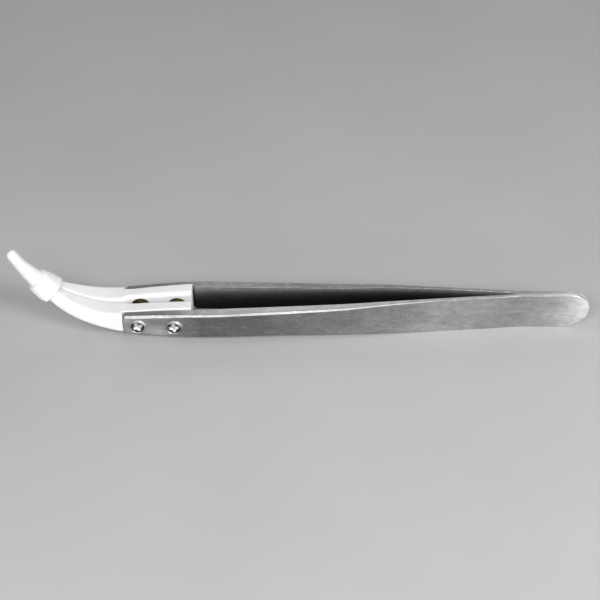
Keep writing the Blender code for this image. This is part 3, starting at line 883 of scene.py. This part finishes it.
def pocket_cutter(label, where, side):
    """Solid cut from the arm for one screw head: wall, floor and clearance hole."""
    y = arm_face(label, where)
    floor_y = y - POCKET_DEPTH
    profile = [
        (0, y - 4.0),
        (CLEARANCE_R, y - 4.0),
        (CLEARANCE_R, floor_y),
        (POCKET_R - 0.18, floor_y),
        (POCKET_R - 0.12, floor_y + 0.06),
        (POCKET_R - 0.11, y - 0.20),
        (POCKET_R - 0.07, y - 0.14),
        (POCKET_R + 0.045, y - 0.01),
        (POCKET_R + 0.06, y + 0.10),
        (POCKET_R + 0.08, y + 0.30),
        (POCKET_R + 0.08, y + 1.0),
        (0, y + 1.0),
    ]
    tool = outward(lathe("pocket", profile, segments=72), side)
    return place("pocket_%s_%s" % (label, where), tool, fastener_axis(label, where))


def pocket_lip(label, where, side):
    """Burr thrown up round the pocket when it was sunk: broad and high on its upper rear
    side, fading to a thin line on the opposite side."""
    y = arm_face(label, where)
    crest = POCKET_R + 0.10
    # place outwards (share of the burr's breadth, or mm when negative),
    # share of the burr's height, lift off the arm face
    levels = (
        (0.0, 0.0, -0.50), (1.0, 0.0, -0.50), (1.0, 0.0, -0.05), (0.94, 0.0, 0.03),
        (0.62, 0.50, 0.03), (0.34, 0.84, 0.03), (0.12, 0.98, 0.03), (0.0, 1.0, 0.03),
        (-0.3, 0.92, 0.03),
    )
    count = 96
    rings = []
    for outwards, share, lift in levels:
        ring = []
        for k in range(count):
            t = 2 * math.pi * k / count
            weight = (0.5 + 0.5 * math.cos(t - math.radians(BURR_TURN))) ** 1.8
            rim = crest + 0.17 + 0.42 * weight
            radius = crest + (rim - crest) * outwards if outwards >= 0 else crest + outwards
            height = lift + share * (0.04 + 0.30 * weight)
            ring.append((radius * math.cos(t), y + height, radius * math.sin(t)))
        rings.append(ring)
    shape = bmesh.new()
    skin(shape, rings, closed=True)
    tool = outward(finish_mesh(shape, "lip"), side)
    return place("lip_%s_%s" % (label, where), tool, fastener_axis(label, where))


def make_arm(label, side):
    lean_start, lean_end = 50.0, TAIL_X - TAIL_ROUND
    rings = []
    for x in arm_positions():
        lean = TAIL_SKEW * min(1.0, max(0.0, (x - lean_start) / (lean_end - lean_start)))
        rings.append(
            [(DATUM_X + x + lean * z, side * y, MID_Z + z) for y, z in arm_section(x, label)]
        )
    arm = place(label + "_arm_visual", mesh_from_rings(label + "_arm_visual", rings))
    combine_solids(arm, [pocket_lip(label, where, side) for where in FASTENER_X[label]], "UNION")
    combine_solids(arm, [pocket_cutter(label, where, side) for where in FASTENER_X[label]])
    shade(arm, 30)
    arm.data.materials.clear()
    arm.data.materials.append(STEEL)
    return arm


# ------------------------------------------------------------------ ceramic tip
def tip_section(y_in, y_out, low, high, radii):
    """Rounded box; radii run outer low, outer high, inner high, inner low."""
    corners = ((y_out, low), (y_out, high), (y_in, high), (y_in, low))
    return add_between(fillet(corners, radii, steps=8), counts=(4, 4, 4, 4), hold=0.08)


def seat_rings(label, side):
    """Straight part of the tip inside the arm, from its rear end to the shoulder."""
    rear_x, shoulder = TIP_REAR_X[label], SHOULDER_X[label]
    xs = [rear_x - f for f in (0.0, 0.02, 0.05, 0.10, 0.16, TIP_REAR_EDGE)]
    xs += stepped(rear_x - 0.7, shoulder + 0.3, -0.5)
    xs += [shoulder + 0.15, shoulder + 0.05]
    radii = (SEAT_EDGE_OUT, SEAT_EDGE_OUT, SEAT_EDGE_HIGH[label], SEAT_EDGE_LOW)
    front_half = TIP_STATIONS[0][1] / 2
    rings = []
    for x in xs:
        y_in = smooth(SEAT_STATIONS[label], x)[0]
        half = smooth(ARM_STATIONS, x)[2] / 2 + smooth(TIP_PROUD, x)[0]
        # the height eases into that of the curved part near the shoulder
        share = ease((x - shoulder) / 5.0)
        low = -half * share + (TIP_MID_Z - front_half) * (1 - share)
        high = half * share + (TIP_MID_Z + front_half) * (1 - share)
        edge = round_over(TIP_REAR_EDGE, TIP_REAR_EDGE, rear_x - x)
        y_seat = seat_face(label, x) - SEAT_GAP - edge
        section = tip_section(y_in + edge, y_seat, low + edge, high - edge, radii)
        rings.append([(DATUM_X + x, side * y, MID_Z + z) for y, z in section])
    return rings


def curve_rings(label, side):
    """Curved part of the tip, from the shoulder to the point."""
    start = ARM_FRONT_X - SHOULDER_X[label]
    stations = [start, start + 0.04, start + 0.10, start + SHOULDER_RUN]
    stations += stepped(0.9, TIP_END - 0.6, 0.4)
    stations += [TIP_END - f for f in (0.5, 0.3, 0.16, 0.06, 0.0)]
    rings = []
    for along in stations:
        height, y_out, y_in, r_low, r_high, r_in = smooth(TIP_STATIONS, along)
        edge = round_over(SHOULDER_EDGE, SHOULDER_RUN, along - start)
        half = height / 2 - edge
        section = tip_section(y_in, y_out - edge, -half, half, (r_low, r_high, r_in, r_in))
        rings.append([on_curve(along, side * y, above) for y, above in section])
    return rings


def bore_cutter(label, where, side):
    """Solid cut from the tip for one insert, flared at the inner face."""
    inner = tip_face(label, where)
    profile = (
        (0, -0.2),
        (INSERT_POCKET_R + 0.35, -0.2),
        (INSERT_POCKET_R + 0.12, inner),
        (INSERT_POCKET_R, inner + 0.14),
        (INSERT_POCKET_R, 5.4),
        (0, 5.4),
    )
    tool = outward(lathe("bore", profile, segments=80), side)
    return place("bore_" + where, tool, fastener_axis(label, where))


def make_tip(label, side):
    name = label + "_tip_visual"
    rings = seat_rings(label, side) + curve_rings(label, side)
    tip = place(name, mesh_from_rings(name, rings))
    combine_solids(tip, [bore_cutter(label, where, side) for where in FASTENER_X[label]])
    shade(tip, 40)
    tip.data.materials.clear()
    tip.data.materials.append(CERAMIC)
    return tip


# ------------------------------------------------------------------ fasteners
def screw_profile(seat):
    """(radius, height) from the shank's inner end to the top of the domed head."""
    end = seat - SHANK_L
    root = SHANK_R - SCREW_THREAD
    profile = [(0, end), (SHANK_R - 0.28, end), (SHANK_R - 0.16, end + 0.14)]
    height = end + 0.22
    while height < seat - 0.55:
        profile += [
            (root, height),
            (SHANK_R, height + THREAD_PITCH * 0.42),
            (SHANK_R, height + THREAD_PITCH * 0.56),
        ]
        height += THREAD_PITCH
    profile += [(root, height), (root, seat - 0.06), (SHANK_R - 0.02, seat)]
    profile += [(HEAD_R - 0.08, seat), (HEAD_R - 0.02, seat + 0.03), (HEAD_R, seat + 0.10)]
    profile.append((HEAD_R, seat + HEAD_WALL))
    for k in range(1, 11):
        a = math.radians(9 * k)
        dome = (HEAD_H - HEAD_WALL) * math.sin(a) * 0.94
        profile.append((HEAD_R * (0.50 + 0.50 * math.cos(a)), seat + HEAD_WALL + dome))
    profile += [(HEAD_R * 0.25, seat + HEAD_H * 0.985), (0, seat + HEAD_H)]
    return profile


def cross_cutter(label, where, side, seat):
    """Tapered cross with rounded inner corners, cut into the screw head."""
    half, reach, corner = CROSS_HALF_WIDTH, CROSS_REACH, CROSS_FILLET
    quarter = (
        (reach - 0.12, -half * 0.80),
        (reach, -half * 0.35),
        (reach, half * 0.35),
        (reach - 0.12, half * 0.80),
        (half + corner, half),
        (half + corner * 0.45, half + corner * 0.45),
        (half, half + corner),
    )
    outline = [turned(x, z, math.pi / 2 * q) for q in range(4) for x, z in quarter]
    turn = math.radians(CROSS_TURN[where] * -side)
    rings = []
    for height, scale in CROSS_LEVELS:
        ring = [turned(x * scale, z * scale, turn) for x, z in outline]
        rings.append([(x, side * (seat + height), z) for x, z in ring])
    shape = bmesh.new()
    loops = skin(shape, rings)
    shape.faces.new(loops[0])
    shape.faces.new(list(reversed(loops[-1])))
    name = "cross_%s_%s" % (label, where)
    return place(name, finish_mesh(shape, "cross"), fastener_axis(label, where))


def make_screw(label, where, side):
    """Pan-head cross-recess screw with a rolled thread, M2 size."""
    seat = arm_face(label, where) - POCKET_DEPTH + 0.04
    mesh = outward(lathe("screw", screw_profile(seat)), side)
    screw = place("%s_screw_%s_visual" % (label, where), mesh, fastener_axis(label, where))
    screw.data.materials.append(SCREW)
    tool = cross_cutter(label, where, side, seat)
    tool.data.materials.append(DRIVEN)
    combine_solids(screw, [tool], keep_tool_material=True)
    shade(screw, 35)
    return screw


def make_insert(label, where, side):
    """Threaded brass insert: chamfered face, a turned groove and threads in the bore."""
    y0 = tip_face(label, where) + INSERT_RECESS
    y1 = seat_face(label, FASTENER_X[label][where] - INSERT_R) - SEAT_GAP - 0.07
    profile = [
        (INSERT_BORE_R + 0.20, y0),
        (INSERT_R - 0.62, y0),
        (INSERT_R - 0.56, y0 + 0.05),
        (INSERT_R - 0.44, y0 + 0.05),
        (INSERT_R - 0.38, y0),
        (INSERT_R - 0.14, y0),
        (INSERT_R - 0.04, y0 + 0.04),
        (INSERT_R, y0 + 0.14),
        (INSERT_R, y1 - 0.1),
        (INSERT_R - 0.1, y1),
        (INSERT_BORE_R + 0.1, y1),
        (INSERT_BORE_R, y1 - 0.1),
    ]
    root = INSERT_BORE_R + INSERT_THREAD
    for height in stepped(y1 - 0.2, y0 + 0.55, -THREAD_PITCH):
        profile += [
            (root, height - THREAD_PITCH * 0.42),
            (root, height - THREAD_PITCH * 0.5),
            (INSERT_BORE_R, height - THREAD_PITCH * 0.92),
        ]
    profile.append((INSERT_BORE_R, y0 + 0.2))
    mesh = outward(lathe("insert", profile, segments=72), side)
    insert = place("%s_insert_%s_visual" % (label, where), mesh, fastener_axis(label, where))
    shade(insert, 30)
    insert.data.materials.append(BRASS)
    return insert


# ------------------------------------------------------------------ cap
def soft_uneven(point, amount):
    """Small unevenness of the soft moulding at a point (mm)."""
    v = Vector(point)
    return amount * (noise.noise(v * 0.75) + 0.5 * noise.noise(v * 1.9 + Vector((7, 3, 1))))


def cap_section(along, half_width, half_height, power, raised, slant, uneven=0.0):
    """Closed ring across the tips' centreline, slanted along it, a little uneven."""
    ring = []
    for k in range(CAP_SEGMENTS):
        t = 2 * math.pi * k / CAP_SEGMENTS
        cos, sin = math.cos(t), math.sin(t)
        y = half_width * math.copysign(abs(cos) ** (2 / power), cos)
        z = half_height * math.copysign(abs(sin) ** (2 / power), sin)
        at = along + slant * (0.8 * cos + 0.6 * sin)
        if uneven:
            grow = 1 + soft_uneven(on_curve(at, y, z), uneven) / max(0.4, math.hypot(y, z))
            y, z = y * grow, z * grow
        ring.append(on_curve(at, y, z + raised))
    return ring


def cap_inner_rings():
    """Hollow of the cap, from its closed front end back to the mouth."""
    stations = [CAP_MOUTH, CAP_MOUTH + 0.03, CAP_MOUTH + 0.1]
    stations += stepped(CAP_MOUTH + 0.4, 30.3, 0.5)
    stations.append(CAP_INNER[-1][0])
    rings = []
    for along in reversed(stations):
        half_width, half_height, *rest = smooth(CAP_INNER, along)
        flare = 0.05 * (1 - ease((along - CAP_MOUTH) / 0.12))
        rings.append(cap_section(along, half_width + flare, half_height + flare, *rest))
    return rings


def cap_outer_rings():
    """Outside of the cap, from the mouth to its rounded front end."""
    stations = [
        CAP_MOUTH + f for f in (-0.03, 0.0, 0.03, 0.07, 0.12, 0.2, 0.3, 0.45)
    ]
    stations += stepped(CAP_MOUTH + 0.7, CAP_FRONT - 0.75, 0.3)
    stations += [
        CAP_FRONT + f
        for f in (-0.6, -0.5, -0.4, -0.3, -0.2, -0.13, -0.07, -0.03, 0.0)
        + (0.03, 0.07, 0.12, 0.18, 0.26, 0.36, 0.5)
    ]
    stations += stepped(CAP_FRONT + 0.85, 30.5, 0.35)
    end, end_width, end_height, _, end_raised, _ = CAP_OUTER[-1]
    stations += [30.6, 30.75, 30.9, 31.0, 31.1, 31.18, 31.25, 31.32, end]
    rings = []
    for along in stations:
        half_width, half_height, *rest = smooth(CAP_OUTER, along)
        if along < CAP_MOUTH:
            half_width, half_height = half_width - 0.06, half_height - 0.07
        uneven = 0.05 if along < CAP_FRONT else 0.03
        rings.append(cap_section(along, half_width, half_height, *rest, uneven=uneven))
    # two smaller rings close the front end
    for share in (0.66, 0.33):
        along = end + 0.07 * (1 - share)
        rings.append(
            cap_section(along, end_width * share, end_height * share, 2.0, end_raised, 0.0)
        )
    return rings


def make_cap():
    mesh = mesh_from_rings("tip_cap_visual", cap_inner_rings() + cap_outer_rings())
    cap = place("tip_cap_visual", mesh)
    shade(cap, 60)
    cap.data.materials.append(CAP_SOFT)
    return cap


# ------------------------------------------------------------------ build and attach
def attach(obj, part, body=None):
    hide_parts(part)
    if body:
        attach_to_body(obj, body)


for label, side in (("left", -1), ("right", 1)):
    body = label + "_side"
    arm = make_arm(label, side)
    if label == "left":
        attach(arm, "left_arm")
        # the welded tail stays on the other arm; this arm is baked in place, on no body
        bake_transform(arm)
    else:
        attach(arm, "right_arm", body)
    attach(make_tip(label, side), label + "_tip", body)
    for where in FASTENER_X[label]:
        screw = make_screw(label, where, side)
        attach(screw, "%s_screw_%s" % (label, where), body)
        insert = make_insert(label, where, side)
        attach(insert, "%s_insert_%s" % (label, where), body)

attach(make_cap(), "tip_cap", "cap")


# ------------------------------------------------------------------ stage (metres)
def make_floor():
    shape = bmesh.new()
    bmesh.ops.create_grid(shape, x_segments=8, y_segments=8, size=3.0)
    mesh = bpy.data.meshes.new("floor")
    shape.to_mesh(mesh)
    shape.free()
    obj = bpy.data.objects.new("floor", mesh)
    bpy.context.scene.collection.objects.link(obj)
    mesh.materials.append(floor_material())
    obj.location = (0, 0, -0.00002)  # just clear of the arms' lower edges


def area_light(name, at, target, size, power, colour):
    data = bpy.data.lights.new(name, "AREA")
    data.energy = power
    data.color = colour
    data.shape = "RECTANGLE"
    data.size, data.size_y = size
    obj = bpy.data.objects.new(name, data)
    bpy.context.scene.collection.objects.link(obj)
    obj.location = at
    direction = Vector(target) - Vector(at)
    obj.rotation_euler = direction.to_track_quat("-Z", "Y").to_euler()


make_floor()
world = bpy.data.worlds.new("studio")
bpy.context.scene.world = world
world.use_nodes = True
background = world.node_tree.nodes["Background"]
background.inputs["Color"].default_value = (0.93, 0.965, 1.0, 1)
background.inputs["Strength"].default_value = 0.24

area_light(
    "key", at=(0.27, -0.25, 0.25), target=(0.02, 0, 0),
    size=(0.16, 0.16), power=1.15, colour=(1.0, 0.985, 0.96),
)
area_light(
    "over_camera", at=(-0.13, -0.33, 0.33), target=(-0.03, 0, 0),
    size=(0.26, 0.14), power=1.0, colour=(0.98, 0.99, 1.0),
)
area_light(
    "front_low", at=(-0.17, -0.44, 0.11), target=(-0.03, 0, 0.01),
    size=(0.30, 0.12), power=0.56, colour=(1.0, 1.0, 1.0),
)
area_light(
    "back_sheet", at=(0.12, 0.52, 0.42), target=(0.02, 0, 0),
    size=(0.44, 0.20), power=0.42, colour=(0.98, 0.99, 1.0),
)

# ------------------------------------------------------------------ camera
ELEVATION = math.radians(40.0)
DISTANCE = 0.320
AIM_DROP = 0.225  # mm below the arms' mid height
AIM_RAISE = 0.00225  # shift of the aim up the view
camera_data = bpy.data.cameras.new("camera")
camera_data.sensor_width = 36.0
camera_data.lens = 82.8
camera_data.clip_start = 0.005
camera = bpy.data.objects.new("camera", camera_data)
bpy.context.scene.collection.objects.link(camera)
view_up = Vector((0, math.sin(ELEVATION), math.cos(ELEVATION)))
view_back = Vector((0, -math.cos(ELEVATION), math.sin(ELEVATION)))
aim = Vector((DATUM_X * MM, 0, (MID_Z - AIM_DROP) * MM)) + view_up * AIM_RAISE
camera.location = aim + view_back * DISTANCE
camera.rotation_euler = (math.pi / 2 - ELEVATION, 0, 0)
bpy.context.scene.camera = camera
bpy.context.scene.view_settings.view_transform = "Standard"
